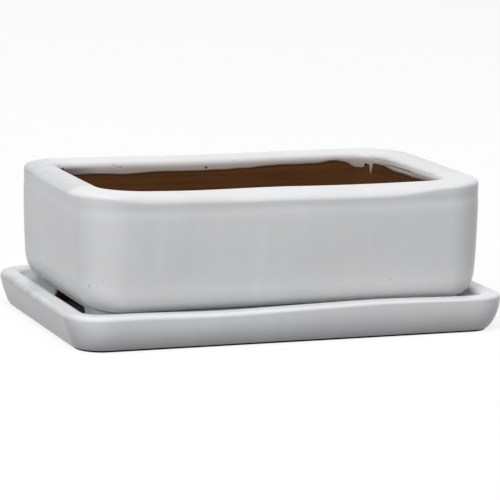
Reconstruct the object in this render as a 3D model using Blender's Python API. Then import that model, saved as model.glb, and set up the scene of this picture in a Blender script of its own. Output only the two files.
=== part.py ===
"""Rectangular glazed bonsai pot on four bracket feet, standing in its saucer.

Metres, +Z up, +X along the long side, front towards -Y.
The origin is the middle of the saucer's base, on the table.
"""
import math

import bmesh
import bpy

# Pot body
POT_LENGTH = 0.254
POT_WIDTH = 0.153
BODY_HEIGHT = 0.0709
POT_CORNER = 0.026
RIM_WIDTH = 0.020
RIM_OUTER_ROUND = 0.006
RIM_INNER_ROUND = 0.0045
INNER_CORNER = 0.016
INNER_DRAFT = 0.0015
FLOOR_THICKNESS = 0.014
FLOOR_COVE = 0.010
HEEL_INSET = 0.0102
HEEL_HEIGHT = 0.017
WALL_TAPER = 0.0007
WALL_BULGE = 0.0005
GLAZE_DEPTH = 0.0085

# Drain holes
DRAIN_DIAMETER = 0.018
DRAIN_SPACING = 0.120

# Feet, and the band under the body that they are joined to
BAND_HEIGHT = 0.0015
FOOT_HEIGHT = 0.0081
FOOT_WIDTH = 0.014
SIDE_ARCH = 0.064
SIDE_ARCH_SHIFT = -0.006
LONG_ARCH = 0.146
ARCH_COVE = 0.005
ARCH_COVE_SWEEP = math.radians(70)

# Saucer
SAUCER_HEIGHT = 0.022
SAUCER_FLOOR = 0.0095
SAUCER_CORNER = 0.023
SAUCER_RIM = 0.013
SAUCER_RIM_OUTER_ROUND = 0.0025
SAUCER_RIM_INNER_ROUND = 0.004
TRAY_FLARE = 0.0029
TRAY_COVE = 0.005
TRAY_CLEARANCE = 0.0015
SAUCER_LEAN = 0.0034
SAUCER_BELLY = 0.0048

# Joints and faceting
SEAT_GAP = 0.0003
SMALLEST_CORNER = 0.0005
SAME_PLACE = 0.000001
CORNER_STEPS = 8
CURVE_STEPS = 5
WALL_STEPS = 4
BELLY_STEPS = 7
HOLE_SIDES = 28

GLAZE = (0.80, 0.80, 0.82, 1.0)
GLAZE_ROUGHNESS = 0.18
CLAY = (0.12, 0.050, 0.020, 1.0)
CLAY_ROUGHNESS = 0.85

# Heights that follow from the pieces standing on each other
FOOT_BASE = SAUCER_FLOOR + SEAT_GAP
BAND_BASE = FOOT_BASE + FOOT_HEIGHT + SEAT_GAP
BODY_BASE = BAND_BASE + BAND_HEIGHT
RIM_TOP = BODY_BASE + BODY_HEIGHT
POT_FLOOR = BODY_BASE + FLOOR_THICKNESS
FOOT_INSET = WALL_TAPER + HEEL_INSET


def clear_scene():
    for thing in list(bpy.data.objects):
        bpy.data.objects.remove(thing, do_unlink=True)


def make_material(name, colour, roughness):
    material = bpy.data.materials.new(name)
    material.use_nodes = True
    shader = material.node_tree.nodes["Principled BSDF"]
    shader.inputs["Base Color"].default_value = colour
    shader.inputs["Roughness"].default_value = roughness
    shader.inputs["Metallic"].default_value = 0.0
    material.diffuse_color = colour
    return material


def add_object(bm, name, shade_angle=math.radians(40)):
    """Turn a bmesh into a named object with its own glaze and bare clay."""
    bmesh.ops.recalc_face_normals(bm, faces=bm.faces)
    mesh = bpy.data.meshes.new(name)
    bm.to_mesh(mesh)
    bm.free()
    mesh.shade_smooth()
    mesh.set_sharp_from_angle(angle=shade_angle)
    thing = bpy.data.objects.new(name, mesh)
    bpy.context.scene.collection.objects.link(thing)
    mesh.materials.append(make_material(name + "_glaze", GLAZE, GLAZE_ROUGHNESS))
    mesh.materials.append(make_material(name + "_clay", CLAY, CLAY_ROUGHNESS))
    return thing


def corner_arc(centre, radius, start, z):
    """Points of a quarter turn about centre, anticlockwise from the start angle."""
    points = []
    for step in range(CORNER_STEPS + 1):
        angle = start + math.pi / 2 * step / CORNER_STEPS
        points.append((centre[0] + radius * math.cos(angle), centre[1] + radius * math.sin(angle), z))
    return points


def ring_points(length, width, radius, z):
    """Points round a rounded rectangle, anticlockwise."""
    radius = max(radius, SMALLEST_CORNER)
    x, y = length / 2 - radius, width / 2 - radius
    points = []
    for centre, start in (((x, y), 0), ((-x, y), 90), ((-x, -y), 180), ((x, -y), 270)):
        points += corner_arc(centre, radius, math.radians(start), z)
    return points


def grow_ring(bm, verts, points, bare):
    """Extrude a closed ring of edges and move the new ring to the given points."""
    edges = [bm.edges.get((verts[i - 1], verts[i])) for i in range(len(verts))]
    made = bmesh.ops.extrude_edge_only(bm, edges=edges)["geom"]
    fresh = {part for part in made if isinstance(part, bmesh.types.BMVert)}
    grown = []
    for vert, point in zip(verts, points):
        ends = [edge.other_vert(vert) for edge in vert.link_edges]
        partner = [end for end in ends if end in fresh][0]
        partner.co = point
        grown.append(partner)
        for face in partner.link_faces:
            face.material_index = int(bare)
    return grown


def loft(name, rings):
    """Grow a skin through a run of rounded rectangles, and cap the first and the last.

    Each ring is (length, width, corner radius, height, bare), where bare marks
    the band of unglazed clay between it and the ring before it.
    """
    bm = bmesh.new()
    verts = [bm.verts.new(point) for point in ring_points(*rings[0][:4])]
    for i in range(len(verts)):
        bm.edges.new((verts[i - 1], verts[i]))
    first = verts
    for length, width, radius, z, bare in rings[1:]:
        verts = grow_ring(bm, verts, ring_points(length, width, radius, z), bare)
    for ring in (first, verts):
        cap = bm.faces.new(ring)
        cap.material_index = 1
    return add_object(bm, name)


def body_ring(inset, z, bare=False, corner=POT_CORNER):
    """A ring of the pot body, inset from its widest outline."""
    return (POT_LENGTH - 2 * inset, POT_WIDTH - 2 * inset, corner - inset, z, bare)


def body_profile():
    """Rings from the middle of the underside, up the outside, over the rim and down inside."""
    rings = [body_ring(FOOT_INSET + FOOT_WIDTH, BODY_BASE, True)]
    rings.append(body_ring(FOOT_INSET + FOOT_WIDTH, BAND_BASE, True))
    rings.append(body_ring(FOOT_INSET, BAND_BASE, True))
    for step in range(CURVE_STEPS + 1):
        turn = math.pi / 2 * step / CURVE_STEPS
        inset = WALL_TAPER + HEEL_INSET * (1 - math.sin(turn))
        rings.append(body_ring(inset, BODY_BASE + HEEL_HEIGHT * (1 - math.cos(turn))))
    wall_low = BODY_BASE + HEEL_HEIGHT
    wall_high = RIM_TOP - RIM_OUTER_ROUND
    for step in range(1, WALL_STEPS + 1):
        share = step / WALL_STEPS
        inset = WALL_TAPER * (1 - share) - WALL_BULGE * 4 * share * (1 - share)
        rings.append(body_ring(inset, wall_low + (wall_high - wall_low) * share))
    for step in range(1, CURVE_STEPS + 1):
        turn = math.pi / 2 * step / CURVE_STEPS
        inset = RIM_OUTER_ROUND * (1 - math.cos(turn))
        rings.append(body_ring(inset, wall_high + RIM_OUTER_ROUND * math.sin(turn)))
    inner = INNER_CORNER + RIM_WIDTH
    for step in range(CURVE_STEPS + 1):
        turn = math.pi / 2 * step / CURVE_STEPS
        inset = RIM_WIDTH - RIM_INNER_ROUND * (1 - math.sin(turn))
        z = RIM_TOP - RIM_INNER_ROUND * (1 - math.cos(turn))
        rings.append(body_ring(inset, z, corner=inner))
    rings.append(body_ring(RIM_WIDTH, RIM_TOP - GLAZE_DEPTH, corner=inner))
    for step in range(CURVE_STEPS + 1):
        turn = math.pi / 2 * step / CURVE_STEPS
        inset = RIM_WIDTH + INNER_DRAFT + FLOOR_COVE * (1 - math.cos(turn))
        rings.append(body_ring(inset, POT_FLOOR + FLOOR_COVE * (1 - math.sin(turn)), True, inner))
    return rings


def make_pot_body():
    """The body with its rim, band and floor, and a drain hole towards each end."""
    body = loft("pot_body", body_profile())
    past_both_faces = 3 * FLOOR_THICKNESS
    for side in (-1, 1):
        bm = bmesh.new()
        bmesh.ops.create_cone(bm, cap_ends=True, segments=HOLE_SIDES, radius1=DRAIN_DIAMETER / 2,
                              radius2=DRAIN_DIAMETER / 2, depth=past_both_faces)
        cutter = add_object(bm, "drain_cutter_" + ("left" if side < 0 else "right"))
        cutter.location = (side * DRAIN_SPACING / 2, 0, BODY_BASE + FLOOR_THICKNESS / 2)
        cutter.hide_render = True
        cutter.display_type = "WIRE"
        cut = body.modifiers.new("drain", "BOOLEAN")
        cut.operation = "DIFFERENCE"
        cut.object = cutter
    return body


def foot_outline(end_x, end_y):
    """An L in plan for the corner at +X +Y, its arms ending at end_x and end_y."""
    x, y = POT_LENGTH / 2 - FOOT_INSET, POT_WIDTH / 2 - FOOT_INSET
    outer = max(POT_CORNER - FOOT_INSET, SMALLEST_CORNER)
    inner = max(outer - FOOT_WIDTH, SMALLEST_CORNER)
    points = [(x - FOOT_WIDTH, end_y, 0), (x, end_y, 0)]
    points += corner_arc((x - outer, y - outer), outer, 0, 0)
    points += [(end_x, y, 0), (end_x, y - FOOT_WIDTH, 0)]
    points += corner_arc((x - FOOT_WIDTH - inner, y - FOOT_WIDTH - inner), inner, 0, 0)[::-1]
    return points


def make_foot(name, side_x, side_y):
    """A bracket foot under one corner, its ends coved out to the arches."""
    end_x = LONG_ARCH / 2
    end_y = SIDE_ARCH / 2 + side_y * SIDE_ARCH_SHIFT
    bm = bmesh.new()
    verts = [bm.verts.new(point) for point in foot_outline(end_x, end_y)]
    face = bm.faces.new(verts)
    face.material_index = 1
    heights = [FOOT_HEIGHT - ARCH_COVE * math.sin(ARCH_COVE_SWEEP)]
    reaches = [0.0]
    for step in range(1, CURVE_STEPS + 1):
        turn = ARCH_COVE_SWEEP * step / CURVE_STEPS
        heights.append(heights[0] + ARCH_COVE * math.sin(turn))
        reaches.append(ARCH_COVE * (1 - math.cos(turn)))
    low, reach_low = 0.0, 0.0
    for high, reach in zip(heights, reaches):
        made = bmesh.ops.extrude_face_region(bm, geom=[face])
        if low > 0:
            bmesh.ops.delete(bm, geom=[face], context="FACES_ONLY")
        face = [part for part in made["geom"] if isinstance(part, bmesh.types.BMFace)][0]
        bmesh.ops.translate(bm, verts=face.verts, vec=(0, 0, high - low))
        for vert in face.verts:
            if abs(vert.co.x - (end_x - reach_low)) < SAME_PLACE:
                vert.co.x = end_x - reach
            if abs(vert.co.y - (end_y - reach_low)) < SAME_PLACE:
                vert.co.y = end_y - reach
        low, reach_low = high, reach
    bmesh.ops.scale(bm, vec=(side_x, side_y, 1), verts=bm.verts)
    foot = add_object(bm, name)
    foot.location = (0, 0, FOOT_BASE)
    return foot


def saucer_profile():
    """Rings from the base, up the outside, over the rim and down to the tray floor."""
    foot_length = POT_LENGTH - 2 * FOOT_INSET
    foot_width = POT_WIDTH - 2 * FOOT_INSET
    out = TRAY_CLEARANCE + TRAY_COVE + TRAY_FLARE + SAUCER_RIM
    length, width = foot_length + 2 * out, foot_width + 2 * out

    def ring(inset, z, bare=False):
        return (length - 2 * inset, width - 2 * inset, SAUCER_CORNER - inset, z, bare)

    rings = []
    wall_high = SAUCER_HEIGHT - SAUCER_RIM_OUTER_ROUND
    for step in range(BELLY_STEPS + 1):
        share = math.sin(math.pi / 2 * step / BELLY_STEPS)
        rest = 1 - share
        inset = SAUCER_BELLY * (1 - math.sqrt(1 - rest * rest)) + SAUCER_LEAN * rest
        rings.append(ring(inset, wall_high * share))
    for step in range(1, CURVE_STEPS + 1):
        turn = math.pi / 2 * step / CURVE_STEPS
        z = wall_high + SAUCER_RIM_OUTER_ROUND * math.sin(turn)
        rings.append(ring(SAUCER_RIM_OUTER_ROUND * (1 - math.cos(turn)), z))
    for step in range(CURVE_STEPS + 1):
        turn = math.pi / 2 * step / CURVE_STEPS
        z = SAUCER_HEIGHT - SAUCER_RIM_INNER_ROUND * (1 - math.cos(turn))
        rings.append(ring(SAUCER_RIM - SAUCER_RIM_INNER_ROUND * (1 - math.sin(turn)), z))
    for step in range(CURVE_STEPS + 1):
        turn = math.pi / 2 * step / CURVE_STEPS
        inset = SAUCER_RIM + TRAY_FLARE + TRAY_COVE * (1 - math.cos(turn))
        rings.append(ring(inset, SAUCER_FLOOR + TRAY_COVE * (1 - math.sin(turn))))
    return rings


def main():
    clear_scene()
    loft("saucer", saucer_profile())
    make_pot_body()
    for side_y, end_name in ((-1, "front"), (1, "back")):
        for side_x, side_name in ((-1, "left"), (1, "right")):
            make_foot("foot_" + end_name + "_" + side_name, side_x, side_y)


main()
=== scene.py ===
# A rectangular bonsai pot on four bracket feet, standing in its own glazed saucer.
import math

import bmesh
import bpy
from mathutils import Matrix, Vector, noise


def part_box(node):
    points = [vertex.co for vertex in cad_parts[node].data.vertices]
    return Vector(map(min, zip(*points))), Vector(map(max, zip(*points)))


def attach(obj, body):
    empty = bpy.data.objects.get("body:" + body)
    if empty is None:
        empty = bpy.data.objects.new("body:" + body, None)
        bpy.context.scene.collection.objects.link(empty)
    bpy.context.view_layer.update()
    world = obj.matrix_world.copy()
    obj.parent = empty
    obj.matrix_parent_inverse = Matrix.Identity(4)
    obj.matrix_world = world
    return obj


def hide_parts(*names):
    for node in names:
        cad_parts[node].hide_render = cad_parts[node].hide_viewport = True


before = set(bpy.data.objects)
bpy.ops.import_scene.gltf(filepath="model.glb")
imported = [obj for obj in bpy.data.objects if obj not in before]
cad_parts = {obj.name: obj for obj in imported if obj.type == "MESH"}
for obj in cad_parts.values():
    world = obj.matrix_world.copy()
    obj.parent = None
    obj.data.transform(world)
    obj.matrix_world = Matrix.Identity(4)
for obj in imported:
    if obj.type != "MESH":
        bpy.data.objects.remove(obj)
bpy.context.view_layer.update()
mm = 0.001                        # the shapes below are written in millimetres
weld = 0.002                      # points closer than this become one
sharpAngle = math.radians(50)     # edges sharper than this stay crisp
glazeSink = 0.3                   # how far the back of a glaze coat lies within the clay
noise.seed_set(3)                 # noise_vector depends on it, so that each run gives the same shapes


def cadSize(node):                # lowest and highest corner of a node, in millimetres
    low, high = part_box(node)
    return low / mm, high / mm


# Shape tools

def between(a, b, share):
    return a + (b - a) * share


def eased(share):
    share = min(max(share, 0.0), 1.0)
    return share * share * (3 - 2 * share)


def bell(away, reach):            # 1 at the middle, 0 past the reach
    return eased(1 - abs(away) / reach)


def rounded(share):               # height of a quarter round, 0 to 1
    share = min(max(share, 0.0), 1.0)
    return math.sqrt(1 - (1 - share) ** 2)


def arc(centreX, centreY, radiusX, radiusY, start, end, steps, first=0):   # points, angles in degrees
    points = []
    for step in range(first, steps + 1):
        turn = math.radians(between(start, end, step / steps))
        points.append((centreX + radiusX * math.cos(turn), centreY + radiusY * math.sin(turn)))
    return points


def sideShares(half, spacing, marks=()):   # points along a straight side, as shares of its half
    count = max(2, round(2 * half / spacing))
    clear = 0.4 * spacing         # the least distance to a mark
    spots = [between(-half, half, step / count) for step in range(1, count)]
    spots = [spot for spot in spots if all(abs(spot - mark) > clear for mark in marks)]
    return [spot / half for spot in sorted(spots + list(marks))]


def ringPlan(longShares, shortShares, cornerSteps):   # what places a ring's points on any rounded rectangle
    plan = []
    for quarter, (sideX, sideY) in enumerate(((1, 1), (-1, 1), (-1, -1), (1, -1))):
        for step in range(cornerSteps + 1):
            turn = math.pi / 2 * (quarter + step / cornerSteps)
            plan.append((sideX, sideY, math.cos(turn), math.sin(turn)))
        if quarter == 0:
            plan += [(share, 1, 0, 1) for share in reversed(longShares)]
        elif quarter == 1:
            plan += [(-1, share, -1, 0) for share in reversed(shortShares)]
        elif quarter == 2:
            plan += [(share, -1, 0, -1) for share in longShares]
        else:
            plan += [(1, share, 1, 0) for share in shortShares]
    return plan


def ringPoint(spot, reachX, reachY, corner, z):
    corner = max(min(corner, reachX, reachY), 0.0)
    shareX, shareY, outX, outY = spot
    return Vector((shareX * (reachX - corner) + corner * outX, shareY * (reachY - corner) + corner * outY, z))


def rolledSkin(plan, rows, place, tube=False):   # a grid rolled into a ring; tube joins its two ends as well
    bm = bmesh.new()
    columns = len(plan)
    lines = rows if tube else rows - 1
    bmesh.ops.create_grid(bm, x_segments=columns, y_segments=lines, size=1)
    for vert in bm.verts:
        column = round((vert.co.x + 1) / 2 * columns) % columns
        row = round((vert.co.y + 1) / 2 * lines)
        vert.co = place(plan[column], row % rows)
    bmesh.ops.remove_doubles(bm, verts=bm.verts, dist=weld)
    bmesh.ops.recalc_face_normals(bm, faces=bm.faces)
    return bm


def offsetPoint(points, at, lift):   # a section's point, moved off its own surface
    before, after = points[max(at - 1, 0)], points[min(at + 1, len(points) - 1)]
    along = Vector((after[0] - before[0], after[1] - before[1])).normalized()
    return points[at][0] - along.y * lift, points[at][1] + along.x * lift


def paint(bm, name, value):       # a number at each point of the mesh, for the material to read
    layer = bm.verts.layers.float.new(name)
    for vert in bm.verts:
        vert[layer] = value(vert.co)


def refineNear(bm, spot, radius, reach, cuts):   # what is already fine enough for the radius is left alone
    fine = radius / 3
    edges = [edge for edge in bm.edges if edge.calc_length() > fine
             and all((vert.co - spot).length < reach for vert in edge.verts)]
    bmesh.ops.subdivide_edges(bm, edges=edges, cuts=cuts, use_grid_fill=True)


def pressIn(bm, spot, reach, depth, name, amount=1.0):   # a dent, or a swelling if depth is below 0
    bm.normal_update()
    nearest = min(bm.verts, key=lambda vert: (vert.co - spot).length_squared)
    facing = nearest.normal.copy()
    layer = bm.verts.layers.float.get(name)
    for vert in bm.verts:
        share = bell((vert.co - nearest.co).length, reach) if vert.normal.dot(facing) > 0 else 0.0
        if share > 0:
            vert[layer] = max(vert[layer], amount * min(share * 2, 1.0))   # full over the inner part
        vert.co -= facing * depth * share


def furrow(bm, start, end, half, depth, name, amount):   # a shallow groove along a line
    bm.normal_update()
    layer = bm.verts.layers.float.get(name)
    line = end - start
    for vert in bm.verts:
        along = min(max((vert.co - start).dot(line) / line.length_squared, 0.0), 1.0)
        share = bell((vert.co - start - line * along).length, half)
        if share > 0:
            vert[layer] = max(vert[layer], amount * share)
            vert.co -= vert.normal * depth * share


def finishPiece(bm, name, material, body, nodes=()):
    bmesh.ops.scale(bm, vec=(mm, mm, mm), verts=bm.verts)
    mesh = bpy.data.meshes.new(name)
    bm.to_mesh(mesh)
    bm.free()
    mesh.shade_smooth()
    mesh.set_sharp_from_angle(angle=sharpAngle)
    mesh.materials.append(material)
    piece = bpy.data.objects.new(name, mesh)
    bpy.context.scene.collection.objects.link(piece)
    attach(piece, body)
    if nodes:
        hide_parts(*nodes)
    print(name, len(mesh.polygons), "faces")
    return piece


# Shading tools

def shaderGroup(name, numbers, output):
    tree = bpy.data.node_groups.new(name, "ShaderNodeTree")
    tree.interface.new_socket("Place", in_out="INPUT", socket_type="NodeSocketVector")
    for label in numbers:
        tree.interface.new_socket(label, in_out="INPUT", socket_type="NodeSocketFloat")
    tree.interface.new_socket(output, in_out="OUTPUT", socket_type="NodeSocketFloat")
    return tree, tree.nodes.new("NodeGroupInput"), tree.nodes.new("NodeGroupOutput")


def addNode(tree, kind, values=(), **settings):
    node = tree.nodes.new(kind)
    for key, value in settings.items():
        setattr(node, key, value)
    for key, value in values:
        node.inputs[key].default_value = value
    return node


def cloudGroup():                 # soft uneven patches, drawn out along Z when Run is small
    tree, given, result = shaderGroup("kilnCloud", ("Scale", "Run", "Softness"), "Cloud")
    squash = addNode(tree, "ShaderNodeCombineXYZ", ((0, 1.0), (1, 1.0)))
    scaled = addNode(tree, "ShaderNodeVectorMath", operation="MULTIPLY")
    cloud = addNode(tree, "ShaderNodeTexNoise", (("Detail", 3.0), ("Roughness", 0.55)))
    low = addNode(tree, "ShaderNodeMath", ((0, 0.5),), operation="SUBTRACT")
    high = addNode(tree, "ShaderNodeMath", ((0, 0.5),), operation="ADD")
    ramp = addNode(tree, "ShaderNodeMapRange", interpolation_type="SMOOTHSTEP")
    tree.links.new(given.outputs["Run"], squash.inputs[2])
    tree.links.new(given.outputs["Place"], scaled.inputs[0])
    tree.links.new(squash.outputs[0], scaled.inputs[1])
    tree.links.new(scaled.outputs[0], cloud.inputs["Vector"])
    tree.links.new(given.outputs["Scale"], cloud.inputs["Scale"])
    tree.links.new(given.outputs["Softness"], low.inputs[1])
    tree.links.new(given.outputs["Softness"], high.inputs[1])
    tree.links.new(cloud.outputs[0], ramp.inputs["Value"])
    tree.links.new(low.outputs[0], ramp.inputs["From Min"])
    tree.links.new(high.outputs[0], ramp.inputs["From Max"])
    tree.links.new(ramp.outputs[0], result.inputs["Cloud"])
    return tree


def speckGroup():                 # sparse small specks, such as iron spots in a glaze or grog in clay
    tree, given, result = shaderGroup("ironSpeck", ("Scale", "Size", "Rarity"), "Speck")
    cells = addNode(tree, "ShaderNodeTexVoronoi")
    chosen = addNode(tree, "ShaderNodeMath", operation="GREATER_THAN")
    near = addNode(tree, "ShaderNodeMapRange", (("To Min", 1.0), ("To Max", 0.0)),
                   interpolation_type="SMOOTHSTEP")
    split = addNode(tree, "ShaderNodeSeparateColor")
    both = addNode(tree, "ShaderNodeMath", operation="MULTIPLY")
    tree.links.new(given.outputs["Place"], cells.inputs["Vector"])
    tree.links.new(given.outputs["Scale"], cells.inputs["Scale"])
    tree.links.new(cells.outputs["Distance"], near.inputs["Value"])
    tree.links.new(given.outputs["Size"], near.inputs["From Max"])
    tree.links.new(cells.outputs["Color"], split.inputs[0])
    tree.links.new(split.outputs[0], chosen.inputs[0])
    tree.links.new(given.outputs["Rarity"], chosen.inputs[1])
    tree.links.new(near.outputs[0], both.inputs[0])
    tree.links.new(chosen.outputs[0], both.inputs[1])
    tree.links.new(both.outputs[0], result.inputs["Speck"])
    return tree


cloudTree = cloudGroup()
speckTree = speckGroup()


def useGroup(tree, group, place, **values):
    node = addNode(tree, "ShaderNodeGroup", node_tree=group)
    tree.links.new(place, node.inputs["Place"])
    for key, value in values.items():
        node.inputs[key].default_value = value
    return node.outputs[0]


def blendColour(tree, share, first, second):   # each colour is a value or a socket
    mix = addNode(tree, "ShaderNodeMix", data_type="RGBA")
    tree.links.new(share, mix.inputs[0])
    for socket, colour in ((mix.inputs[6], first), (mix.inputs[7], second)):
        if isinstance(colour, tuple):
            socket.default_value = colour
        else:
            tree.links.new(colour, socket)
    return mix.outputs[2]


def scaledBy(tree, socket, factor, added=0.0):
    node = addNode(tree, "ShaderNodeMath", ((1, factor), (2, added)), operation="MULTIPLY_ADD")
    tree.links.new(socket, node.inputs[0])
    return node.outputs[0]


def painted(tree, name):
    return addNode(tree, "ShaderNodeAttribute", attribute_name=name).outputs["Fac"]


def startMaterial(name):
    material = bpy.data.materials.new(name)
    material.use_nodes = True
    tree = material.node_tree
    place = addNode(tree, "ShaderNodeTexCoord").outputs["Object"]
    return material, tree, place


def finishMaterial(tree, place, colour, uneven, finish):   # uneven makes the surface a little rougher
    shader = tree.nodes["Principled BSDF"]
    tree.links.new(colour, shader.inputs["Base Color"])
    tree.links.new(scaledBy(tree, uneven, finish["rougher"], finish["roughness"]), shader.inputs["Roughness"])
    shader.inputs["Specular IOR Level"].default_value = finish["shine"]
    scale, detail, strength, depth = finish["bump"]
    grain = addNode(tree, "ShaderNodeTexNoise", (("Scale", scale), ("Detail", detail)))
    bump = addNode(tree, "ShaderNodeBump", (("Strength", strength), ("Distance", depth)))
    tree.links.new(place, grain.inputs["Vector"])
    tree.links.new(grain.outputs[0], bump.inputs["Height"])
    tree.links.new(bump.outputs[0], shader.inputs["Normal"])


whiteGlaze = {                    # colours are linear, scales are per metre
    "colour": (0.80, 0.81, 0.825, 1),
    "pooled": (0.72, 0.735, 0.755, 1),       # where it ran thicker and cooler
    "warm": (0.79, 0.78, 0.765, 1),          # where it is a little thinner
    "thinAndShade": (0.40, 0.33, 0.28, 1),           # at its edge, where the clay shows through, and painted shade down the inside walls
    # scuffs and greyer patches; the same colour paints shade in the heel's crease and on the tray floor under
    # the pot
    "scuffAndShade": (0.36, 0.37, 0.39, 1),
    "speck": (0.16, 0.12, 0.09, 1),
    # pinholes; the same colour paints shade deep in the back left corner of the cavity
    "pitsAndShade": (0.010, 0.007, 0.005, 1),
    "pools": {"Scale": 26.0, "Run": 0.35, "Softness": 0.22},
    "streaks": {"Scale": 105.0, "Run": 0.12, "Softness": 0.3},
    "warmth": {"Scale": 14.0, "Run": 1.6, "Softness": 0.2},
    "specks": {"Scale": 95.0, "Size": 0.045, "Rarity": 0.93},
    "poolShare": 0.75,
    "streakShare": 0.6,
    "warmShare": 0.5,
    "roughness": 0.22,
    "rougher": 0.06,              # what pools add to it
    "shine": 0.18,                # specular level
    "bump": (160.0, 2.0, 0.12, 0.0005),      # scale, detail, strength and depth of its ripple
}


def glazeMaterial(name, finish):
    material, tree, place = startMaterial(name)
    pool = useGroup(tree, cloudTree, place, **finish["pools"])
    streak = useGroup(tree, cloudTree, place, **finish["streaks"])
    warm = useGroup(tree, cloudTree, place, **finish["warmth"])
    speck = useGroup(tree, speckTree, place, **finish["specks"])
    colour = blendColour(tree, scaledBy(tree, pool, finish["poolShare"]), finish["colour"], finish["pooled"])
    colour = blendColour(tree, scaledBy(tree, streak, finish["streakShare"]), colour, finish["pooled"])
    colour = blendColour(tree, scaledBy(tree, warm, finish["warmShare"]), colour, finish["warm"])
    colour = blendColour(tree, speck, colour, finish["speck"])
    # the marks painted on the meshes; each of them carries painted shade in places as well
    for mark in ("thinAndShade", "scuffAndShade", "pitsAndShade"):
        colour = blendColour(tree, painted(tree, mark), colour, finish[mark])
    finishMaterial(tree, place, colour, pool, finish)
    return material


redClay = {
    "colour": (0.110, 0.043, 0.011, 1),
    "dark": (0.078, 0.031, 0.009, 1),
    "grog": (0.19, 0.10, 0.055, 1),
    "wiped": (0.126, 0.051, 0.014, 1),       # streaks left where it was wiped along the walls
    "paintedShade": (0.014, 0.009, 0.006, 1),      # painted shade under the pot, deep in the feet and along the saucer's base
    "clouds": {"Scale": 18.0, "Run": 2.5, "Softness": 0.3},
    "wipes": {"Scale": 9.0, "Run": 45.0, "Softness": 0.2},
    "grains": {"Scale": 420.0, "Size": 0.3, "Rarity": 0.8},
    "wipedShare": 0.7,
    "grogShare": 0.4,
    "roughness": 0.85,
    "rougher": 0.08,              # what its darker clouds add to it
    "shine": 0.15,
    "bump": (900.0, 4.0, 0.5, 0.0004),       # scale, detail, strength and depth of its grain
}


def clayMaterial(name, finish):
    material, tree, place = startMaterial(name)
    cloud = useGroup(tree, cloudTree, place, **finish["clouds"])
    wiped = useGroup(tree, cloudTree, place, **finish["wipes"])
    grog = useGroup(tree, speckTree, place, **finish["grains"])
    colour = blendColour(tree, cloud, finish["colour"], finish["dark"])
    colour = blendColour(tree, scaledBy(tree, wiped, finish["wipedShare"]), colour, finish["wiped"])
    colour = blendColour(tree, scaledBy(tree, grog, finish["grogShare"]), colour, finish["grog"])
    # painted shade where the clay lies in shadow under the pot and along the saucer's base
    colour = blendColour(tree, painted(tree, "paintedShade"), colour, finish["paintedShade"])
    finishMaterial(tree, place, colour, cloud, finish)
    return material


glaze = glazeMaterial("whiteGlaze", whiteGlaze)
clay = clayMaterial("redClay", redClay)
print("materials are made")


# Pot

pot = {
    "corner": 26.0,               # radius of the outline in plan
    "leastCorner": 1.5,           # what is left of it deep inside
    "leastInside": 3.0,           # and of the cavity's own corners
    "spacing": 2.0,               # between the mesh's points along a side
    "rimWidth": 20.0,
    "frontRound": (6.5, 6.5),     # the rim's outer rounding, across and down
    "frontCrown": (13.0, 6.5),    # it is broader along the front, right of crownFrom
    "crownFrom": -55.0,
    "crownReach": 35.0,
    "crownEnd": (9.0, 3.2),       # and it flattens again right of endFrom
    "endFrom": 62.0,
    "endReach": 36.0,
    "backRound": (4.0, 3.0),
    "leftRound": (12.5, 4.6),
    "rightRound": (2.4, 2.0),
    "cornerRound": (3.5, 2.9),    # it is crisper at the corners
    "crispReach": 30.0,           # distance from a corner where it is full again
    "backLeftReach": 54.0,
    "inner": 4.5,                 # the rim's inner rounding
    "leftInner": 6.0,
    "cavityCorner": {"frontLeft": 22.0, "frontRight": 16.0, "backLeft": 11.0, "backRight": 16.0},
    "neck": (0.35, 0.15),         # a slight hollow under the rim, on the long and the short sides
    "neckDepth": 9.5,
    "neckReach": 5.0,
    "draft": 1.5,
    "tooling": (0.12, 1.5, 1.6),  # depth, changes along a side, and height of the ridges inside
    "floor": 14.0,
    "floorCove": 10.0,
    "heelInset": 10.2,
    "heelHeight": (14.0, 18.0),   # on the long and the short sides
    "leftHeel": 1.7,              # how much higher the heel starts at the left end
    "heelFrom": 0.16,             # share of its curve that is cut off below
    "heelPower": 2.1,
    "taper": 0.7,
    "bulge": 0.5,
    "band": 1.5,                  # the strip under the heel that the feet stand out from
    "bandFillet": 0.5,            # where it meets the underside
    "bandBevel": 0.4,             # and along its lower edges
    "crease": 0.5,                # depth of the groove between the heel and the band
    "creaseHeight": 1.4,          # in its depths, as the points of its section are
    "creaseSection": ((0.4, 1.0), (1.0, 0.6), (1.0, 0.2), (0.5, 0.0)),   # across and down
    "footWidth": 14.0,
    "baseShade": 0.6,            # how dark the painted shade on the underside is
    "baseShadeUp": 0.1,
    "glazeFootGap": 1.0,          # bare strip at the bottom of the feet
    "coat": 0.7,                  # thickness of the glaze
    "bead": 1.3,                  # how far its edge rounds off
    "sway": 0.35,                 # how far the hand-pressed walls stray
    "swayReach": 55.0,
    "dip": 0.2,                   # share of it that the rim rises and falls
}
potSteps = {"corner": 40, "skirt": 10, "heel": 12, "wall": 24, "outer": 12, "top": 5, "inner": 9, "hang": 12,
            "back": 3}            # the back of the glaze has one row for so many of the front
sag = {                           # where the rim slumped between its corners
    "front": ((-55.0, 62.0, 1.0), (42.0, 95.0, 1.0)),   # middle, reach and drop
    "back": ((-15.0, 85.0, 0.7),),
    "flatter": (-66.0, 45.0, 1.0),   # where the front rounding is less deep
}
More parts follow.
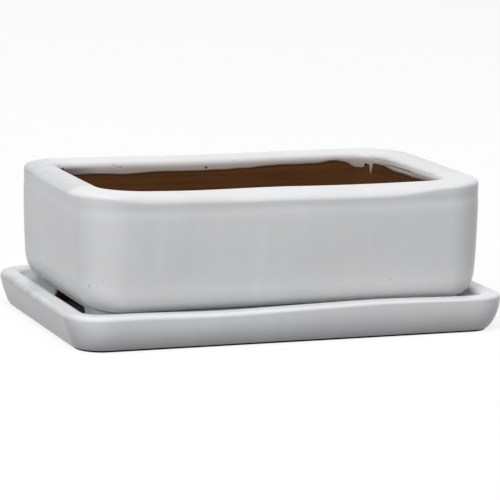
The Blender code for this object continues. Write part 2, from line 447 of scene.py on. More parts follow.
glazeLine = {                     # how far the glaze comes down inside, and what hangs from its edge
    "back": 7.6,
    "front": 8.0,
    "tilt": -1.3,                 # less towards the right
    "least": 0.6,                 # below the rim's inner rounding
    "wander": ((0.8, 46.0, 0.0), (0.35, 11.0, 40.0)),   # amount, width and a place in the noise
    "narrow": 3.0,                # drips narrower than this end in a round tip
    "blunt": 2.5,                 # and how round it is
    "drips": (                    # x, y, half width, length
        (94.0, 56.5, 6.8, 3.2),
        (99.5, 56.0, 5.5, 2.8),
        (102.9, 52.6, 1.1, 7.0),
        (-60.0, 56.5, 20.0, 1.2),
        (-103.0, 53.5, 9.0, -4.0),
        (-108.0, 45.0, 9.0, -3.0),
        (40.0, -56.5, 7.0, 1.6),
        (-107.0, -20.0, 6.0, 1.8),
    ),
    "waves": (                    # the same, where its whole edge runs higher or lower
        (78.0, 56.5, 12.0, -1.4),
        (35.0, 56.5, 28.0, -0.7),
        (107.0, 20.0, 50.0, 1.8),
    ),
}
arch = {
    "long": 73.0,                 # half of the opening under the long sides
    "sideFront": -38.0,
    "sideBack": 26.0,
    "cove": 5.0,
    "sweep": 70.0,                # degrees
    "drop": 0.4,                  # width over which its edge comes down a foot's end
    "fade": (4.2, 3.3, 2.6, 1.8, 1.1, 0.5, 0.1, -0.4, -1.2),   # the mesh's points round a foot's end
}
potLow, potHigh = cadSize("pot_body")
footLow, footHigh = cadSize("foot_front_left")
halfX, halfY = potHigh.x, potHigh.y
rimTop = potHigh.z
bodyBase = potLow.z + pot["band"]
bandTop = bodyBase - pot["creaseHeight"] * pot["crease"]
footInset = pot["taper"] + pot["heelInset"]
coveReach = arch["cove"] * (1 - math.cos(math.radians(arch["sweep"])))
coveBase = footHigh.z - arch["cove"] * math.sin(math.radians(arch["sweep"]))


def footMarks(left, right):       # where the mesh needs points along a side, round the feet's two ends
    return [end - out * past for end, out in ((left, -1), (right, 1)) for past in arch["fade"]]


potPlan = ringPlan(
    sideShares(halfX - pot["corner"], pot["spacing"], footMarks(-arch["long"], arch["long"])),
    sideShares(halfY - pot["corner"], pot["spacing"], footMarks(arch["sideFront"], arch["sideBack"])),
    potSteps["corner"])


def archLine(past):               # height of an arch's edge, past its foot's end by so much
    if past <= -coveReach:
        return footHigh.z
    if past < 0:
        share = 1 + past / arch["cove"]
        return coveBase + arch["cove"] * math.sqrt(max(1 - share * share, 0.0))
    return between(coveBase, footLow.z, min(past / arch["drop"], 1.0))


def underEdge(point, spot):       # lowest glaze under this point of the outline
    if abs(spot[1]) == 1 and abs(spot[0]) < 1:
        past = abs(point.x) - arch["long"]
    elif abs(spot[0]) == 1 and abs(spot[1]) < 1:
        past = max(arch["sideFront"] - point.y, point.y - arch["sideBack"])
    else:
        past = pot["corner"]
    return max(archLine(past), footLow.z + pot["glazeFootGap"])


def innerRound(spot):
    return between(pot["inner"], pot["leftInner"], min(spot[2], 0) ** 2)


def outerRound(spot):             # how far the rim's outer rounding goes across and down here
    place = ringPoint(spot, halfX, halfY, pot["corner"], 0)
    middleOfCorner = pot["corner"] * (math.sqrt(2) - 1)
    away = math.hypot(halfX - abs(place.x), halfY - abs(place.y)) - middleOfCorner
    full = eased(away / pot["backLeftReach" if place.x < 0 < place.y else "crispReach"])
    crowned = eased((place.x - pot["crownFrom"]) / pot["crownReach"])
    ended = eased((place.x - pot["endFrom"]) / pot["endReach"])
    front = [between(between(plain, crown, crowned), end, ended)
             for plain, crown, end in zip(pot["frontRound"], pot["frontCrown"], pot["crownEnd"])]
    side = front if spot[3] < 0 else pot["backRound"]
    ends = pot["leftRound"] if spot[2] < 0 else pot["rightRound"]
    middle, reach, most = sag["flatter"]
    less = most * bell(place.x - middle, reach) if place.y < 0 else 0.0
    across, down = [between(tight, between(long, end, spot[2] ** 2), full)
                    for tight, long, end in zip(pot["cornerRound"], side, ends)]
    return across, down - less


def innerCorner(inset, spot):     # the cavity's corners differ, as they were finished by hand
    corners = pot["cavityCorner"]
    share = (1 + spot[0]) / 2
    front = between(corners["frontLeft"], corners["frontRight"], share)
    back = between(corners["backLeft"], corners["backRight"], share)
    return between(front, back, (1 + spot[1]) / 2) + pot["rimWidth"] - inset


def glazeEdgeDepth(point, hanging=True):   # the glaze's lower edge inside wanders a little
    depth = glazeLine["back"] if point.y > 0 else glazeLine["front"]
    depth += glazeLine["tilt"] * point.x / halfX
    for amount, width, level in glazeLine["wander"]:
        depth += amount * noise.noise(Vector((point.x, point.y, level)) / width)
    for x, y, half, length in glazeLine["waves"] + (glazeLine["drips"] if hanging else ()):
        share = 1 - math.hypot(point.x - x, point.y - y) / half
        narrow = half < glazeLine["narrow"]
        depth += length * (rounded(glazeLine["blunt"] * share) if narrow else eased(share))
    return depth


def slump(point):                 # how far the rim has come down over this point of the outline
    dips = sag["front"] if point.y < 0 else sag["back"]
    return sum(drop * bell(point.x - middle, reach) for middle, reach, drop in dips)


def heelLift(spot):
    return pot["leftHeel"] * min(spot[2], 0) ** 2


def potSection(spot):             # (inset, height) from the crease up the wall and over the rim
    reach, fall = outerRound(spot)
    inner = innerRound(spot)
    neck, tall = [between(*pot[name], spot[2] ** 2) for name in ("neck", "heelHeight")]
    groove = pot["crease"]
    base = bodyBase + heelLift(spot)
    points = [(footInset, bandTop + heelLift(spot))]
    points += [(footInset + across * groove, base - down * groove) for across, down in pot["creaseSection"]]
    for step in range(1, potSteps["heel"] + 1):
        turn = math.pi / 2 * between(pot["heelFrom"], 1.0, step / potSteps["heel"])
        out = math.sin(turn) ** (2 / pot["heelPower"])
        up = 1 - max(math.cos(turn), 0.0) ** (2 / pot["heelPower"])
        points.append((pot["taper"] + pot["heelInset"] * (1 - out), base + tall * up))
    low, top = base + tall, rimTop - fall
    for step in range(1, potSteps["wall"] + 1):
        share = step / potSteps["wall"]
        height = between(low, top, share)
        inset = pot["taper"] * (1 - share) - pot["bulge"] * 4 * share * (1 - share)
        points.append((inset + neck * bell(rimTop - height - pot["neckDepth"], pot["neckReach"]), height))
    points += arc(reach, top, reach, fall, 180, 90, potSteps["outer"], first=1)
    flat = pot["rimWidth"] - inner
    for step in range(1, potSteps["top"] + 1):
        points.append((between(reach, flat, step / potSteps["top"]), rimTop))
    points += arc(flat, rimTop - inner, inner, inner, 90, 0, potSteps["inner"], first=1)
    return points


potSections = {spot: potSection(spot) for spot in potPlan}
sectionRows = len(potSections[potPlan[0]])
wallRows = sectionRows - potSteps["outer"] - potSteps["top"] - potSteps["inner"]   # up to the rim's rounding


def ringCorner(inset, spot):      # the outline's corners grow into the cavity's over the rim
    return between(pot["corner"] - inset, innerCorner(inset, spot), eased(inset / pot["rimWidth"]))


def handShape(point):             # pressed and finished by hand, so nothing on the pot is quite straight
    sway = noise.noise_vector(point / pot["swayReach"]) * pot["sway"]
    lift = eased((point.z - bodyBase) / (rimTop - bodyBase))
    moved = point + Vector((sway.x, sway.y, 0))
    moved.z -= lift * (pot["dip"] * (pot["sway"] + sway.z) + slump(point))
    return moved


def potOuter(inset, z, spot, corner=None):
    radius = max(pot["corner"] - inset, pot["leastCorner"]) if corner is None else corner
    return ringPoint(spot, halfX - inset, halfY - inset, radius, z)


def makePotGlaze():
    skirt, hang = potSteps["skirt"], potSteps["hang"]
    rows = skirt + sectionRows + hang

    def surface(spot, row, lift):      # lift is how far the surface stands off its own place
        if row < skirt:
            low = underEdge(potOuter(footInset, 0, spot), spot)
            z = between(low, bandTop + heelLift(spot), row / skirt)
            sunk = pot["coat"] * (1 - rounded((z - low) / pot["bead"]))
            return potOuter(footInset + sunk - lift, z, spot)
        row -= skirt
        if row < sectionRows:
            inset, z = offsetPoint(potSections[spot], row, lift)
            corner = pot["corner"] - inset if row < wallRows else ringCorner(inset, spot)
            return potOuter(inset, z, spot, corner)
        start = innerRound(spot)
        deepest = glazeEdgeDepth(potOuter(pot["rimWidth"], 0, spot, innerCorner(pot["rimWidth"], spot)))
        deepest = max(deepest, start + glazeLine["least"])
        depth = between(start, deepest, (row - sectionRows + 1) / hang)
        sunk = pot["coat"] * (1 - rounded((deepest - depth) / pot["bead"]))
        inset = pot["rimWidth"] - sunk + lift
        return potOuter(inset, rimTop - depth, spot, innerCorner(inset, spot))

    back = list(range(rows - 1, 0, -potSteps["back"])) + [0]

    def place(spot, row):
        if row < rows:
            return handShape(surface(spot, row, 0.0))
        return handShape(surface(spot, back[row - rows], -pot["coat"] - glazeSink))

    bm = rolledSkin(potPlan, rows + len(back), place, tube=True)
    wearAndShadePotGlaze(bm)
    finishPiece(bm, "pot_glaze", glaze, "pot")


# marks of wear on the pot's glaze, and the painted shade in its crease, its back left corner and down its
# inner walls
potWearAndShade = {
    "pinholes": (                 # x, y, depth under the rim, radius
        (-8.0, 56.5, 6.8, 1.25),
        (99.7, 54.2, 8.3, 1.6),
        # this one is a painted shadow, where the left rim hides the cavity's back left corner
        (-102.3, 54.4, 5.0, 1.9),
    ),
    "scuffs": (                   # x, y, height, radius, depth pressed in, darkness
        (-117.7, 56.6, 90.4, 2.2, 0.15, 0.5),
        (-115.9, 52.0, 90.4, 1.7, 0.15, 0.4),
        (-114.1, 47.3, 90.4, 2.4, 0.2, 0.5),
        (-114.0, 38.9, 90.3, 1.8, 0.2, 0.4),
        (-115.2, 26.6, 90.3, 1.6, 0.15, 0.25),
        (-110.5, 33.9, 90.0, 2.2, 0.3, 0.45),
        (-104.0, 54.0, 89.6, 1.6, 0.3, 0.7),
        (-64.4, 57.0, 85.7, 1.2, 0.3, 0.75),
        (-66.8, 57.0, 86.1, 1.1, 0.3, 0.75),
        (-68.5, 57.3, 87.0, 1.8, 0.2, 0.3),
        (-122.7, -64.9, 36.0, 0.9, 0.0, 1.0),
        (110.0, -26.0, 88.6, 2.4, -0.3, 0.1),
        (110.5, -30.5, 88.4, 1.8, 0.35, 0.3),
        (109.5, -22.5, 88.0, 1.8, 0.35, 0.3),
        (97.0, 59.0, 87.0, 3.0, 0.3, 0.25),
    ),
    "furrows": (                  # from, to, half width, depth pressed in, darkness
        ((103.0, 56.0, 86.3), (107.2, 40.0, 86.6), 1.3, 0.3, 0.5),
        ((107.2, 40.0, 86.6), (107.4, 8.0, 87.6), 1.4, 0.3, 0.45),
        ((107.4, 8.0, 87.6), (108.0, -30.0, 88.4), 1.3, 0.25, 0.4),
        ((107.0, 34.0, 84.6), (107.1, -2.0, 85.4), 1.1, 0.25, 0.4),
        # this one is a painted shadow along the left rim's inner edge, in the back left corner
        ((-105.5, 46.5, 86.6), (-102.0, 54.0, 85.0), 1.5, 0.2, 1.0),
        ((-121.0, 55.0, 90.0), (-112.0, 58.0, 90.4), 1.0, 0.15, 0.4),
        ((-119.0, 50.0, 90.0), (-113.0, 51.5, 90.4), 0.9, 0.12, 0.35),
    ),
    "holeRoom": 3.2,              # reach of the finer mesh round a pinhole, in its radii
    "holeCuts": 4,
    "holeDepth": 0.6,
    "scuffRoom": (1.8, 2.0),      # the same round a scuff, in its radii, and on top of that
    "scuffCuts": 2,
    "inside": 20.0,               # how far down inside the glaze is looked for
    "thinShadeFrom": 1.0,              # depth inside where the glaze starts to thin and the painted shade begins
    "thinShadeMost": 0.85,             # how thin it is at its own edge, with painted shade to match; only what hangs below is thinner
    "thinShadePower": 0.6,
    "greyness": (0.34, 0.14),         # how far the rim has greyed at its left and its right end
    "greyReach": 22.0,
    "greyDown": 6.0,
    "greyFade": 4.0,
    "greyFront": -42.0,           # it stops in front of this
    "greyBehind": 12.0,           # and full so far behind it
    "greyMore": (0.7, 0.7, 14.0),     # share of it away from the end, what the end adds, and over what length
    "greyPatches": (0.35, 9.0),   # strength and width
    "creaseShade": 0.9,            # painted shade in the groove under the heel, how dark
    "creaseReach": 0.9,
    "shadeCorner": (-99.0, 57.0, 24.0, 0.6),   # x, y, reach and darkness
    "shadeDepth": (2.5, 3.0, 5.0),    # where it starts below the rim, and how fast it comes and goes
}


def wearAndShadePotGlaze(bm):
    # thinner glaze towards its edge inside, deepened with painted shade down the inner walls
    def thinningAndShade(co):
        inside = min(halfX - abs(co.x), halfY - abs(co.y)) > pot["rimWidth"] - pot["inner"]
        depth = rimTop - co.z - slump(co)
        if not inside or depth > potWearAndShade["inside"]:
            return 0.0
        start, most = potWearAndShade["thinShadeFrom"], potWearAndShade["thinShadeMost"]
        share = (depth - start) / max(glazeEdgeDepth(co, False) - start, 1.0)
        return most * eased(share) ** potWearAndShade["thinShadePower"] + (1 - most) * eased(2 * share - 2)

    def paintedCreaseShade(co):                 # painted shade in the groove, which rises with the heel at the left end
        side = max(abs(co.y) - halfY + pot["corner"], 0.1)
        end = max(abs(co.x) - halfX + pot["corner"], 0.1)
        lift = pot["leftHeel"] * end * end / (side * side + end * end) if co.x < 0 else 0.0
        return potWearAndShade["creaseShade"] * bell(co.z - bodyBase - lift + pot["crease"], potWearAndShade["creaseReach"])

    # greyer rim towards the ends, with the painted shade of the heel's crease added
    def greyness(co):
        most = potWearAndShade["greyness"][0 if co.x < 0 else 1]
        least, more, length = potWearAndShade["greyMore"]
        strength, width = potWearAndShade["greyPatches"]
        past = abs(co.x) - halfX
        onEnd = eased((past + potWearAndShade["greyReach"]) / potWearAndShade["greyFade"])
        onTop = eased((co.z - rimTop + potWearAndShade["greyDown"]) / potWearAndShade["greyFade"])
        behind = eased((co.y - potWearAndShade["greyFront"]) / potWearAndShade["greyBehind"])
        patchy = least + more * eased((past + length) / length) + strength * noise.noise(co / width)
        return most * onEnd * onTop * behind * patchy + paintedCreaseShade(co)

    def cornerShade(co):                # painted shade inside the back left corner, where the glaze is also thinner
        x, y, reach, share = potWearAndShade["shadeCorner"]
        start, coming, going = potWearAndShade["shadeDepth"]
        depth = rimTop - co.z
        near = share * bell(math.hypot(co.x - x, co.y - y), reach)
        return near * eased((depth - start) / coming) * eased((potWearAndShade["inside"] - depth) / going)

    for name, value in (("thinAndShade", thinningAndShade), ("scuffAndShade", greyness), ("pitsAndShade", cornerShade)):
        paint(bm, name, value)
    for start, end, half, depth, darkness in potWearAndShade["furrows"]:
        furrow(bm, Vector(start), Vector(end), half, depth, "scuffAndShade", darkness)
    for x, y, depth, radius in potWearAndShade["pinholes"]:
        spot = Vector((x, y, rimTop - depth))
        refineNear(bm, spot, radius, radius * potWearAndShade["holeRoom"], potWearAndShade["holeCuts"])
        pressIn(bm, spot, radius, potWearAndShade["holeDepth"], "pitsAndShade")
    radii, margin = potWearAndShade["scuffRoom"]
    for x, y, z, radius, depth, darkness in potWearAndShade["scuffs"]:
        spot = Vector((x, y, z))
        refineNear(bm, spot, radius, radius * radii + margin, potWearAndShade["scuffCuts"])
        pressIn(bm, spot, radius, depth, "scuffAndShade", darkness)


def makePotClay():
    coat, cove = pot["coat"], pot["floorCove"]
    steps = {"under": 12, "cavity": 18, "cove": 10, "floor": 12}
    covered = 4                   # rows of the section, at the crease, that only the glaze follows
    fillet, bevel = pot["bandFillet"], pot["bandBevel"]
    inward, outward = footInset + pot["footWidth"], footInset + coat
    under = [(between(halfY, inward + fillet, step / steps["under"]), bodyBase)
             for step in range(steps["under"])]
    under += [(inward + fillet, bodyBase), (inward, bodyBase - fillet), (inward, potLow.z + bevel),
              (inward - bevel, potLow.z), (outward + bevel, potLow.z), (outward, potLow.z + bevel)]
    floorTop = bodyBase + pot["floor"]
    coveTop = floorTop + cove
    wallTop = rimTop - pot["leftInner"] - coat
    inner = pot["rimWidth"] + pot["draft"]
    cavity = []
    for step in range(1, steps["cavity"] + 1):
        share = step / steps["cavity"]
        cavity.append((between(pot["rimWidth"] - coat, inner, share), between(wallTop, coveTop, share)))
    cavity += arc(inner + cove, coveTop, cove, cove, 180, 270, steps["cove"], first=1)
    last = cavity[-1][0]
    for step in range(1, steps["floor"] + 1):
        cavity.append((between(last, halfY, step / steps["floor"]), floorTop))
    ridge, often, height = pot["tooling"]

    def place(spot, row):
        if row < len(under):
            inset, z = under[row]
            return handShape(potOuter(inset, z, spot))
        row += covered - len(under)
        if row < sectionRows:
            inset, z = offsetPoint(potSections[spot], row, -coat)
            return handShape(potOuter(inset, z, spot, None if row < wallRows else ringCorner(inset, spot)))
        inset, z = cavity[row - sectionRows]
        corner = max(innerCorner(inset, spot), pot["leastInside"])
        if inset <= inner:
            inset += ridge * noise.noise(Vector((spot[0] * often, spot[1] * often, z / height)))
        return handShape(potOuter(inset, z, spot, corner))

    bm = rolledSkin(potPlan, len(under) + sectionRows - covered + len(cavity), place)
    # painted shade on the underside, between the feet
    paint(bm, "paintedShade", lambda co: pot["baseShade"] if co.z < bodyBase + pot["baseShadeUp"] else 0.0)
    piece = finishPiece(bm, "pot_clay", clay, "pot", ("pot_body",))
    cutDrains(piece)


drain = {
    "radius": 9.0,
    "spacing": 120.0,
    "flare": 1.6,                 # how far its edges are worn round
    "flareSteps": 5,
    "sides": 48,
    "past": 4.0,                  # how far the cutter goes past the floor
}


def cutDrains(piece):             # two round holes through the floor
    low, high = bodyBase, bodyBase + pot["floor"]
    flare, steps, past = drain["flare"], drain["flareSteps"], drain["past"]
    reach = drain["radius"] + flare
    profile = [(0.0, low - past), (reach, low - past)]
    profile += arc(reach, low + flare, flare, flare, 270, 180, steps)
    profile += arc(reach, high - flare, flare, flare, 180, 90, steps)
    profile += [(reach, high + past), (0.0, high + past)]
    cutters = []
    for side in (-1, 1):
        bm = bmesh.new()
        verts = [bm.verts.new((x, 0, z)) for x, z in profile]
        edges = [bm.edges.new(pair) for pair in zip(verts, verts[1:])]
        bmesh.ops.spin(bm, geom=verts + edges, cent=(0, 0, 0), axis=(0, 0, 1), angle=2 * math.pi,
                       steps=drain["sides"], use_merge=True)
        bmesh.ops.remove_doubles(bm, verts=bm.verts, dist=weld)
        bmesh.ops.recalc_face_normals(bm, faces=bm.faces)
        bmesh.ops.translate(bm, vec=(side * drain["spacing"] / 2, 0, 0), verts=bm.verts)
        bmesh.ops.scale(bm, vec=(mm, mm, mm), verts=bm.verts)
        mesh = bpy.data.meshes.new("drainCutter")
        bm.to_mesh(mesh)
        bm.free()
        cutter = bpy.data.objects.new("drainCutter", mesh)
        bpy.context.scene.collection.objects.link(cutter)
        cutters.append(cutter)
        cut = piece.modifiers.new("drain", "BOOLEAN")
        cut.operation = "DIFFERENCE"
        cut.object = cutter
    solid = bpy.data.meshes.new_from_object(piece.evaluated_get(bpy.context.evaluated_depsgraph_get()))
    piece.modifiers.clear()
    piece.data = solid
    solid.shade_smooth()
    solid.set_sharp_from_angle(angle=sharpAngle)
    for cutter in cutters:
        bpy.data.objects.remove(cutter, do_unlink=True)


foot = {
    "innerCorner": 2.0,
    "cornerSteps": 12,
    "coveSteps": 8,
    "luted": 0.1,                 # how far its top goes into the band
    "edge": 0.8,                  # rounding of its lower edge
    "edgeSteps": 3,
    "shadeFrom": 0.6,            # depth behind its face where the painted shade starts
    "shadeOver": 2.5,            # and how much further in it is darkest
}


def makeFoot(name, sideX, sideY):      # a bracket under one corner, its ends coved out to the arches
    coat, width = pot["coat"], pot["footWidth"]
    cove, near = arch["cove"], 0.01    # near tells the outline's points apart
    x, y = halfX - footInset - coat, halfY - footInset - coat
    inX, inY = halfX - footInset - width, halfY - footInset - width
    endX, endY = arch["long"], -arch["sideFront"] if sideY < 0 else arch["sideBack"]
    bm = bmesh.new()
    verts = [bm.verts.new((cornerX, cornerY, footLow.z)) for cornerX, cornerY in
             ((x, endY), (x, y), (endX, y), (endX, inY), (inX, inY), (inX, endY))]
    bm.faces.new(verts)
    for vert, radius in ((verts[1], pot["corner"] - footInset - coat), (verts[4], foot["innerCorner"])):
        bmesh.ops.bevel(bm, geom=[vert], offset=radius, offset_type="OFFSET", affect="VERTICES",
                        segments=foot["cornerSteps"], profile=0.5, material=-1)
    turns = [math.radians(arch["sweep"] * step / foot["coveSteps"]) for step in range(foot["coveSteps"])]
    stops = [coveBase + cove * math.sin(turn) for turn in turns] + [potLow.z + foot["luted"]]
    for stop in stops:
        top = max(bm.faces, key=lambda face: face.calc_center_median().z)
        made = bmesh.ops.extrude_face_region(bm, geom=[top])["geom"]
        fresh = [part for part in made if isinstance(part, bmesh.types.BMVert)]
        if stop != stops[0]:
            bmesh.ops.delete(bm, geom=[top], context="FACES_ONLY")
        rise = min(stop, footHigh.z) - coveBase
        reach = cove - math.sqrt(max(cove ** 2 - rise ** 2, 0.0))
        for vert in fresh:
            vert.co.z = stop
            if vert.co.x < endX + near:
                vert.co.x = endX - reach
            if vert.co.y < endY + near:
                vert.co.y = endY - reach
    low = [edge for edge in bm.edges if all(abs(vert.co.z - footLow.z) < near for vert in edge.verts)]
    bmesh.ops.bevel(bm, geom=low, offset=foot["edge"], offset_type="OFFSET", affect="EDGES",
                    segments=foot["edgeSteps"], profile=0.5, material=-1, clamp_overlap=True)
    bmesh.ops.scale(bm, vec=(sideX, sideY, 1), verts=bm.verts)
    bmesh.ops.recalc_face_normals(bm, faces=bm.faces)

    # painted shade deep in the foot, behind its glazed face
    def paintedShade(co):
        depth = min(x - abs(co.x), y - abs(co.y))
        return eased((depth - foot["shadeFrom"]) / foot["shadeOver"])

    paint(bm, "paintedShade", paintedShade)
    for vert in bm.verts:
        vert.co = handShape(vert.co)
    finishPiece(bm, name + "_clay", clay, "pot", (name,))


# Saucer

saucer = {
    "corner": 23.0,
    "leastCorner": 4.0,           # what is left of it deep inside
    "spacing": 2.4,               # between the mesh's points along a side
    "rim": 13.0,
    "outerRound": (3.4, 2.8),     # across and down, on the long sides
    "crispOuterRound": (1.5, 1.5),   # what it becomes towards the right
    "leftOuterRound": (3.0, 3.0),
    "rightOuterRound": (3.0, 2.5),
    "innerRound": (3.5, 3.0),
    "endInnerRound": (4.5, 3.5),
    "lean": (6.2, 2.4),           # how far the long sides come in at the base, and how late
    "leftLean": (6.4, 1.2),
    "rightLean": (8.0, 1.9),
    "waves": ((-45.0, 62.0, -0.75), (58.0, 60.0, 1.0)),   # middle, reach and height along the front rim
    "wavesFrom": 30.0,            # they start so far in front of the middle, and are full twice as far
    "greyness": 0.3,                  # how grey the left end's rim is, behind the front line given next
    "greyFront": -30.0,
    "greyReach": 60.0,
    "greyDown": (5.0, 3.0),       # how far down it goes, and over what height it fades
    "greyIn": 6.0,                # how far it goes past the rim's width
    "greyPatches": (0.5, 9.0),    # strength and width
    "greyEdge": 0.3,              # how grey the rim is along its outer edge
    "edgeReach": 7.0,
    "lowGrey": 0.22,             # how grey the left end is at its base
    "lowGreyHigh": 15.0,
    "lowGreyFront": 6.0,           # it stops this near the front
    "flare": 2.9,
    "cove": 5.0,
    "floor": 9.5,
    "bareFoot": 1.0,              # unglazed strip at the base
    "behindGlaze": 0.4,           # how far it goes up behind the glaze
    "undercut": 1.6,              # how far it lies back from the glaze
    "baseEdge": 0.5,              # the bevel round the base
    "baseRing": 12.0,             # width of the mesh's outermost ring in the base
    "baseShade": 0.75,           # how dark the painted shade along the base is
    "floorShade": 0.75,              # painted shade on the floor under the pot, how grey
    "floorShadeEdge": 8.0,
    "floorShadeWander": (3.0, 12.0),   # how far its edge wanders, and over what length
    "floorShadeUp": (3.0, 2.0),        # how far it goes up from the floor, and over what height it fades
    "coat": 0.6,
    "sway": 0.28,
    "swayReach": 60.0,
    "swayFrom": (9, 4, 2),        # a place in the noise
}
traySteps = {"corner": 16, "side": 16, "outer": 9, "top": 3, "inner": 6, "wall": 4, "cove": 8, "floor": 16,
             "bead": 3}           # rows that round off the glaze's lower edge
trayHigh = cadSize("saucer")[1]
trayPlan = ringPlan(sideShares(trayHigh.x - saucer["corner"], saucer["spacing"]),
                    sideShares(trayHigh.y - saucer["corner"], saucer["spacing"]), traySteps["corner"])


def byPlace(spot, long, left, right):   # a pair of sizes that goes over from the long sides to the ends
    end = left if spot[2] < 0 else right
    return [between(onLong, onEnd, spot[2] ** 2) for onLong, onEnd in zip(long, end)]


def outerEdge(spot):              # the rim's outer rounding, across and down
    towards = (1 + spot[0]) / 2
    long = [between(soft, crisp, towards)
            for soft, crisp in zip(saucer["outerRound"], saucer["crispOuterRound"])]
    return byPlace(spot, long, saucer["leftOuterRound"], saucer["rightOuterRound"])


def saucerWall(height, spot):     # inset of the outside at a height
    fall = outerEdge(spot)[1]
    rest = 1 - min(height / (trayHigh.z - fall), 1.0)
    inward, late = byPlace(spot, saucer["lean"], saucer["leftLean"], saucer["rightLean"])
    return inward * rest ** late


def saucerSection(spot):          # (inset, height) from the glaze's lower edge to the middle of the tray
    top, rim, cove = trayHigh.z, saucer["rim"], saucer["cove"]
    outer, fall = outerEdge(spot)
    inward, down = byPlace(spot, saucer["innerRound"], saucer["endInnerRound"], saucer["endInnerRound"])
    points = []
    for step in range(traySteps["side"] + 1):
        height = between(saucer["bareFoot"], top - fall, math.sin(math.pi / 2 * step / traySteps["side"]))
        points.append((saucerWall(height, spot), height))
    points += arc(outer, top - fall, outer, fall, 180, 90, traySteps["outer"], first=1)
    for step in range(1, traySteps["top"] + 1):
        points.append((between(outer, rim - inward, step / traySteps["top"]), top))
    points += arc(rim - inward, top - down, inward, down, 90, 0, traySteps["inner"], first=1)
    coveTop = saucer["floor"] + cove
    wallFoot = rim + saucer["flare"]
    for step in range(1, traySteps["wall"] + 1):
        share = step / traySteps["wall"]
        points.append((between(rim, wallFoot, share), between(top - down, coveTop, share)))
    points += arc(wallFoot + cove, coveTop, cove, cove, 180, 270, traySteps["cove"], first=1)
    last = points[-1][0]
    for step in range(1, traySteps["floor"] + 1):
        points.append((between(last, trayHigh.y, step / traySteps["floor"]), saucer["floor"]))
    return points


def handTray(point):              # the tray's own sway and swells, kept inside its size
    most = saucer["sway"]
    sway = noise.noise_vector(point / saucer["swayReach"] + Vector(saucer["swayFrom"])) * most
    lift = eased(point.z / trayHigh.z)
    inX, inY = 1 - most * lift / trayHigh.x, 1 - most * lift / trayHigh.y
    swell = sum(height * bell(point.x - middle, reach) for middle, reach, height in saucer["waves"])
    swell *= eased((-point.y - saucer["wavesFrom"]) / saucer["wavesFrom"])
    z = point.z - lift * (most + sway.z - swell)
    return Vector((point.x * inX + sway.x * lift, point.y * inY + sway.y * lift, z))


def trayRing(spot, inset, z):
    corner = max(saucer["corner"] - inset, saucer["leastCorner"])
    return ringPoint(spot, trayHigh.x - inset, trayHigh.y - inset, corner, z)


saucerSections = {spot: saucerSection(spot) for spot in trayPlan}


def makeSaucerGlaze():
    rows = len(saucerSections[trayPlan[0]])

    def place(spot, row):
        section = saucerSections[spot]
        if row < rows:
            at = rows - 1 - row
            inset, z = offsetPoint(section, at, -saucer["coat"] * (1 - rounded(at / traySteps["bead"])))
        else:
            inset, z = offsetPoint(section, row - rows, -saucer["coat"] - glazeSink)
        return handTray(trayRing(spot, inset, z))

    def underPotShade(co):                # painted shade on the tray floor under the pot
        far, width = saucer["floorShadeWander"]
        up, fade = saucer["floorShadeUp"]
        inside = min(halfX - footInset - abs(co.x), halfY - footInset - abs(co.y))
        inside += far * noise.noise(co / width)
        onFloor = eased((saucer["floor"] + up - co.z) / fade)
        return saucer["floorShade"] * eased(inside / saucer["floorShadeEdge"]) * onFloor

    def greyedAndShaded(co):              # painted shade under the pot, and the left end greyer on its rim and at its base
        strength, width = saucer["greyPatches"]
        down, fade = saucer["greyDown"]
        atEnd = eased((-co.x - trayHigh.x + saucer["rim"] + saucer["greyIn"]) / saucer["greyIn"])
        patchy = 1 + strength * noise.noise(co / width)
        onTop = eased((co.z - trayHigh.z + down) / fade)
        onRim = onTop * eased((co.y - saucer["greyFront"]) / saucer["greyReach"])
        onEdge = onTop * eased((saucer["edgeReach"] - co.x - trayHigh.x) / saucer["edgeReach"])
        low = eased((saucer["lowGreyHigh"] - co.z) / saucer["lowGreyHigh"])
        low *= eased((co.y + trayHigh.y - saucer["lowGreyFront"]) / saucer["lowGreyHigh"])
        grey = saucer["greyness"] * onRim + saucer["greyEdge"] * onEdge + saucer["lowGrey"] * low
        return underPotShade(co) + atEnd * patchy * grey

    bm = rolledSkin(trayPlan, 2 * rows, place)
    for name, value in (("thinAndShade", lambda co: 0.0), ("pitsAndShade", lambda co: 0.0), ("scuffAndShade", greyedAndShaded)):
        paint(bm, name, value)
    finishPiece(bm, "saucer_glaze", glaze, "saucer")


def makeSaucerClay():
    def stations(spot):
        section = saucerSections[spot]
        edge = saucer["baseEdge"]
        inset = saucerWall(saucer["bareFoot"], spot) + saucer["undercut"]
        under = [(trayHigh.y, 0.0), (inset + saucer["baseRing"], 0.0), (inset + edge, 0.0), (inset, edge),
                 (inset, saucer["bareFoot"] + saucer["behindGlaze"])]
        return under + [offsetPoint(section, row, -saucer["coat"])
                        for row in range(traySteps["bead"], len(section))]

    places = {spot: stations(spot) for spot in trayPlan}
    rows = len(places[trayPlan[0]])
    bm = rolledSkin(trayPlan, rows, lambda spot, row: handTray(trayRing(spot, *places[spot][row])))
    # painted shade along the bare strip at the base
    paint(bm, "paintedShade", lambda co: saucer["baseShade"] if co.z < 2 * saucer["bareFoot"] else 0.0)
    finishPiece(bm, "saucer_clay", clay, "saucer", ("saucer",))


makePotGlaze()
makePotClay()
for sideY, end in ((-1, "front"), (1, "back")):
    for sideX, side in ((-1, "left"), (1, "right")):
        makeFoot("foot_" + end + "_" + side, sideX, sideY)
makeSaucerGlaze()
makeSaucerClay()
print("pot and saucer are made")


# Room, light and camera

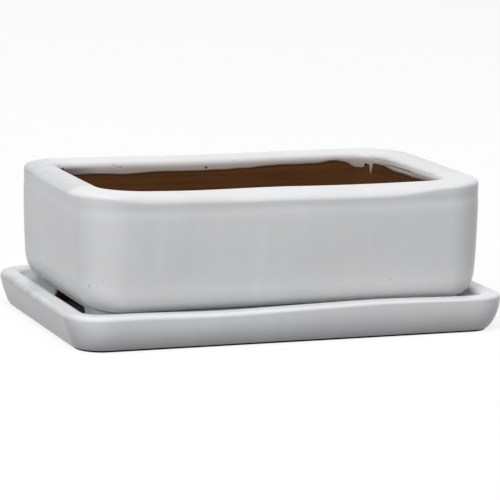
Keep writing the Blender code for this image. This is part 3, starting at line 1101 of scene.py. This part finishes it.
room = {
    "floor": (0.235, 0.235, 0.24, 1),    # what the floor throws back on the object
    "floorHalf": 4,               # metres
    "shadow": 0.18,               # how much of the shadow the camera sees
    "sky": 0.41,
    "key": 193.0,                 # watts
    "keyTurn": -38,               # degrees round from the front
    "keyRise": 56,
    "keyAway": 5.0,
    "keySize": 3.3,
}
camera = {
    "azimuth": -20.744,           # degrees round from looking along +Y
    "elevation": 10.170,
    "roll": 1.245,
    "distance": 1.80071,          # metres back from the middle of the base
    "across": 0.00194,
    "up": 0.04035,
    "lens": 210.54,
    "sensor": 36,
    "clip": (0.05, 50),
}


def outwards(turn, rise):         # a direction, from degrees round from the front and up
    turn, rise = math.radians(turn), math.radians(rise)
    return Vector((math.sin(turn) * math.cos(rise), -math.cos(turn) * math.cos(rise), math.sin(rise)))


def seenByEye(tree):              # 1 for rays that show the background itself
    path = addNode(tree, "ShaderNodeLightPath")
    first = addNode(tree, "ShaderNodeMath", operation="MAXIMUM")
    second = addNode(tree, "ShaderNodeMath", operation="MAXIMUM")
    tree.links.new(path.outputs["Is Camera Ray"], first.inputs[0])
    tree.links.new(path.outputs["Is Glossy Ray"], first.inputs[1])
    tree.links.new(first.outputs[0], second.inputs[0])
    tree.links.new(path.outputs["Is Transmission Ray"], second.inputs[1])
    return second.outputs[0]


def makeFloor():
    bm = bmesh.new()
    bmesh.ops.create_grid(bm, x_segments=1, y_segments=1, size=room["floorHalf"])
    mesh = bpy.data.meshes.new("floor")
    bm.to_mesh(mesh)
    bm.free()
    floor = bpy.data.objects.new("floor", mesh)
    bpy.context.scene.collection.objects.link(floor)
    material = bpy.data.materials.new("paleFloor")
    material.use_nodes = True
    tree = material.node_tree
    tree.nodes.clear()
    dull = addNode(tree, "ShaderNodeBsdfDiffuse", (("Color", room["floor"]),))
    white = addNode(tree, "ShaderNodeBsdfDiffuse", (("Color", (1, 1, 1, 1)),))
    bright = addNode(tree, "ShaderNodeEmission", (("Color", (1, 1, 1, 1)), ("Strength", 1.0)))
    pale = addNode(tree, "ShaderNodeMixShader", ((0, room["shadow"]),))
    both = addNode(tree, "ShaderNodeMixShader")
    result = addNode(tree, "ShaderNodeOutputMaterial")
    tree.links.new(bright.outputs[0], pale.inputs[1])
    tree.links.new(white.outputs[0], pale.inputs[2])
    tree.links.new(seenByEye(tree), both.inputs[0])
    tree.links.new(dull.outputs[0], both.inputs[1])
    tree.links.new(pale.outputs[0], both.inputs[2])
    tree.links.new(both.outputs[0], result.inputs[0])
    mesh.materials.append(material)


def makeSky():
    world = bpy.data.worlds.new("softRoom")
    bpy.context.scene.world = world
    world.use_nodes = True
    sky = world.node_tree
    back = sky.nodes["Background"]
    back.inputs["Color"].default_value = (1, 1, 1, 1)
    sky.links.new(scaledBy(sky, seenByEye(sky), 1 - room["sky"], room["sky"]), back.inputs["Strength"])


def makeKey():
    lamp = bpy.data.lights.new("key", "AREA")
    lamp.energy = room["key"]
    lamp.shape = "DISK"
    lamp.size = room["keySize"]
    key = bpy.data.objects.new("key", lamp)
    bpy.context.scene.collection.objects.link(key)
    key.location = outwards(room["keyTurn"], room["keyRise"]) * room["keyAway"]
    key.rotation_euler = (-key.location).to_track_quat("-Z", "Y").to_euler()


def makeCamera():
    back = outwards(camera["azimuth"], camera["elevation"])
    roll = math.radians(camera["roll"])
    level = (-back).cross(Vector((0, 0, 1))).normalized()
    upright = level.cross(-back)
    across = level * math.cos(roll) + upright * math.sin(roll)
    up = upright * math.cos(roll) - level * math.sin(roll)
    eye = bpy.data.objects.new("camera", bpy.data.cameras.new("camera"))
    bpy.context.scene.collection.objects.link(eye)
    eye.data.sensor_width = camera["sensor"]
    eye.data.lens = camera["lens"]
    eye.data.clip_start, eye.data.clip_end = camera["clip"]
    turned = Matrix((across, up, back)).transposed().to_4x4()
    turned.translation = back * camera["distance"] + across * camera["across"] + up * camera["up"]
    eye.matrix_world = turned
    bpy.context.scene.camera = eye


makeFloor()
makeSky()
makeKey()
makeCamera()
bpy.context.scene.view_settings.view_transform = "Standard"
print("room, light and camera are made")
